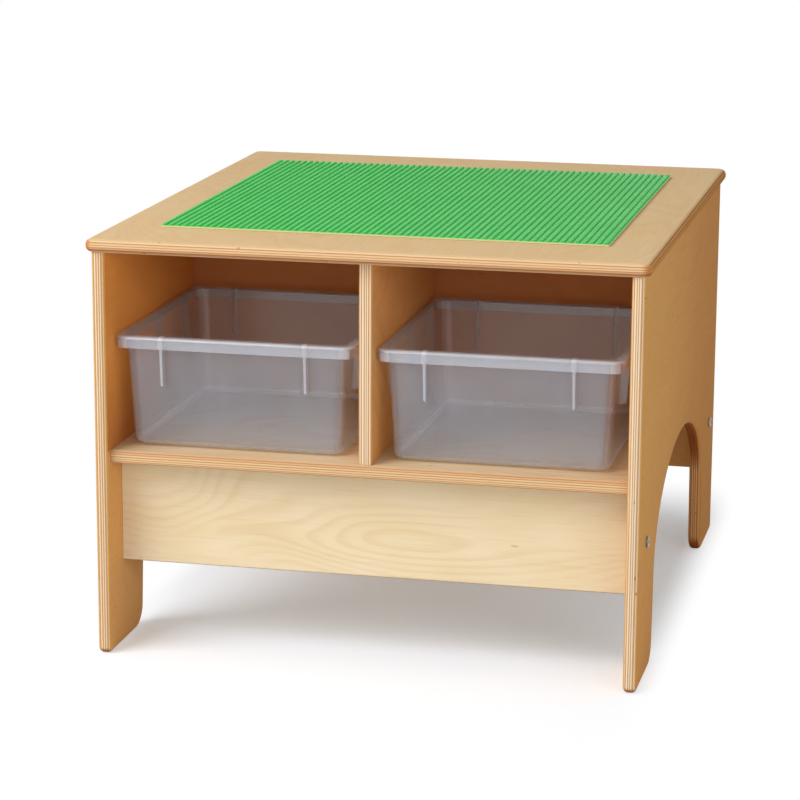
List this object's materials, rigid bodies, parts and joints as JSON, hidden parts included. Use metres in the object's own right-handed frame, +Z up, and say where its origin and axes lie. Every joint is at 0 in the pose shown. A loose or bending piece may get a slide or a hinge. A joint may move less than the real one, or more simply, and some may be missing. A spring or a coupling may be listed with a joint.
{
  "type": "building block table",
  "caption": "Low birch plywood play table with a studded brick plate on its top, arched side panels, and storage tubs that slide out of open compartments at the front and back.",
  "frame": {"origin": "on the floor, under the middle of the table", "axes": "+X to the right of someone at the front, +Y to the back, +Z up"},
  "size_m": [0.631, 0.707, 0.4841],
  "materials": {
    "birch_plywood": "clear satin lacquer on birch plywood with bare ply edges",
    "beech_dowel": "plain beech",
    "green_plate": "moulded green plastic",
    "clear_plastic": "translucent moulded plastic",
    "nickel_steel": "nickel-plated steel"
  },
  "bodies": {
    "table": {"table_top": "birch_plywood", "side_panel_left": "birch_plywood", "side_panel_right": "birch_plywood", "shelf": "birch_plywood", "centre_partition": "birch_plywood", "divider_front": "birch_plywood", "divider_rear": "birch_plywood", "apron_front": "birch_plywood", "apron_rear": "birch_plywood", "brick_plate": "green_plate", "connector_bolt_front_left": "nickel_steel", "connector_bolt_front_right": "nickel_steel", "connector_bolt_rear_left": "nickel_steel", "connector_bolt_rear_right": "nickel_steel", "barrel_nut_front_left": "nickel_steel", "barrel_nut_front_right": "nickel_steel", "barrel_nut_rear_left": "nickel_steel", "barrel_nut_rear_right": "nickel_steel", "shelf_dowel_1": "beech_dowel", "shelf_dowel_2": "beech_dowel", "shelf_dowel_3": "beech_dowel", "shelf_dowel_4": "beech_dowel", "shelf_dowel_5": "beech_dowel", "shelf_dowel_6": "beech_dowel", "shelf_dowel_7": "beech_dowel", "shelf_dowel_8": "beech_dowel", "top_dowel_1": "beech_dowel", "top_dowel_2": "beech_dowel", "top_dowel_3": "beech_dowel", "top_dowel_4": "beech_dowel", "top_dowel_5": "beech_dowel", "top_dowel_6": "beech_dowel", "top_dowel_7": "beech_dowel", "top_dowel_8": "beech_dowel", "divider_dowel_1": "beech_dowel", "divider_dowel_2": "beech_dowel", "divider_dowel_3": "beech_dowel", "divider_dowel_4": "beech_dowel", "divider_dowel_5": "beech_dowel", "divider_dowel_6": "beech_dowel", "divider_dowel_7": "beech_dowel", "divider_dowel_8": "beech_dowel", "apron_dowel_1": "beech_dowel", "apron_dowel_2": "beech_dowel", "apron_dowel_3": "beech_dowel", "apron_dowel_4": "beech_dowel", "apron_dowel_5": "beech_dowel", "apron_dowel_6": "beech_dowel", "apron_dowel_7": "beech_dowel", "apron_dowel_8": "beech_dowel"},
    "tub_front_left": {"tub_front_left": "clear_plastic"},
    "tub_front_right": {"tub_front_right": "clear_plastic"},
    "tub_rear_left": {"tub_rear_left": "clear_plastic"},
    "tub_rear_right": {"tub_rear_right": "clear_plastic"}
  },
  "joints": [
    {"name": "tub_front_left_slide", "type": "slide", "parent": "table", "child": "tub_front_left", "axis": [0, -1, 0], "range_m": [0, 0.3]},
    {"name": "tub_front_right_slide", "type": "slide", "parent": "table", "child": "tub_front_right", "axis": [0, -1, 0], "range_m": [0, 0.3]},
    {"name": "tub_rear_left_slide", "type": "slide", "parent": "table", "child": "tub_rear_left", "axis": [0, 1, 0], "range_m": [0, 0.3]},
    {"name": "tub_rear_right_slide", "type": "slide", "parent": "table", "child": "tub_rear_right", "axis": [0, 1, 0], "range_m": [0, 0.3]}
  ]
}
